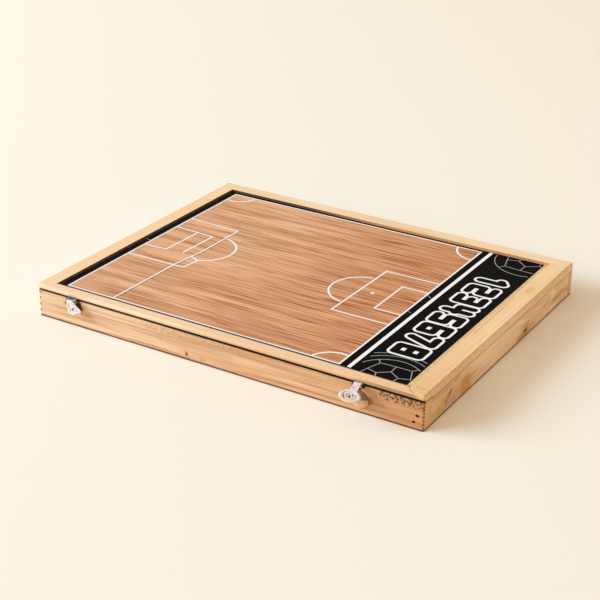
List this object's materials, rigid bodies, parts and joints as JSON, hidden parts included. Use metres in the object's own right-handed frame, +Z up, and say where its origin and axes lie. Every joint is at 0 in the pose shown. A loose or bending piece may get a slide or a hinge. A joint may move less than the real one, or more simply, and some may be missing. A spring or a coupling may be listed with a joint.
{
  "type": "combination board game set",
  "caption": "Flat wooden game case with a hinged framed lid printed as a football pitch, front clasps, a draughts board under the lid and a divided tray of playing pieces.",
  "frame": {"origin": "centre of the underside of the tray, on the surface the case lies on", "axes": "+X along the long side to the right, -Y to the front with the clasps, +Z up"},
  "size_m": [0.46, 0.3902, 0.038],
  "materials": {
    "case_wood": "sanded pine, thin varnish",
    "lid_wood": "sanded pine, thin varnish",
    "plywood": "raw plywood",
    "pitch_print": "satin laminated print",
    "board_print": "satin laminated print",
    "steel": "zinc plated",
    "dark_steel": "dull dark steel",
    "nickel": "satin nickel",
    "brass": "satin brass",
    "light_wood": "varnished beech",
    "dark_wood": "stained beech",
    "red_paint": "painted wood",
    "blue_paint": "painted wood"
  },
  "bodies": {
    "base": {"base_front_wall": "case_wood", "base_back_wall": "case_wood", "base_left_wall": "case_wood", "base_right_wall": "case_wood", "base_floor_panel": "plywood", "tray_long_divider": "plywood", "tray_left_divider": "plywood", "tray_right_divider": "plywood", "corner_nails": "dark_steel", "left_keeper_stud": "brass", "right_keeper_stud": "brass", "left_hinge_base_leaf": "steel", "right_hinge_base_leaf": "steel", "left_hinge_pin": "steel", "right_hinge_pin": "steel", "base_hinge_screws": "steel", "light_draughtsmen": "light_wood", "dark_draughtsmen": "dark_wood", "home_team_discs": "red_paint", "away_team_discs": "blue_paint", "ball": "light_wood"},
    "lid": {"lid_front_rail": "lid_wood", "lid_back_rail": "lid_wood", "lid_left_rail": "lid_wood", "lid_right_rail": "lid_wood", "lid_panel": "plywood", "pitch_sheet": "pitch_print", "draughts_board_sheet": "board_print", "left_hinge_lid_leaf": "steel", "right_hinge_lid_leaf": "steel", "lid_hinge_screws": "steel", "left_clasp_bracket": "steel", "right_clasp_bracket": "steel", "left_clasp_pin": "steel", "right_clasp_pin": "steel", "clasp_screws": "steel"},
    "left_hasp": {"left_hasp_knuckle": "dark_steel", "left_hasp_tongue": "nickel"},
    "right_hasp": {"right_hasp_strap": "nickel", "right_hasp_rosette": "nickel"}
  },
  "joints": [
    {"name": "lid_hinge", "type": "hinge", "parent": "base", "child": "lid", "pos_m": [0, 0.1827, 0.0287], "axis": [-1, 0, 0], "range_deg": [0, 180]},
    {"name": "left_clasp_hinge", "type": "hinge", "parent": "lid", "child": "left_hasp", "pos_m": [-0.182, -0.1826, 0.0313], "axis": [-1, 0, 0], "range_deg": [-14, 106]},
    {"name": "right_clasp_hinge", "type": "hinge", "parent": "lid", "child": "right_hasp", "pos_m": [0.162, -0.1826, 0.0313], "axis": [-1, 0, 0], "range_deg": [-60, 60]}
  ]
}
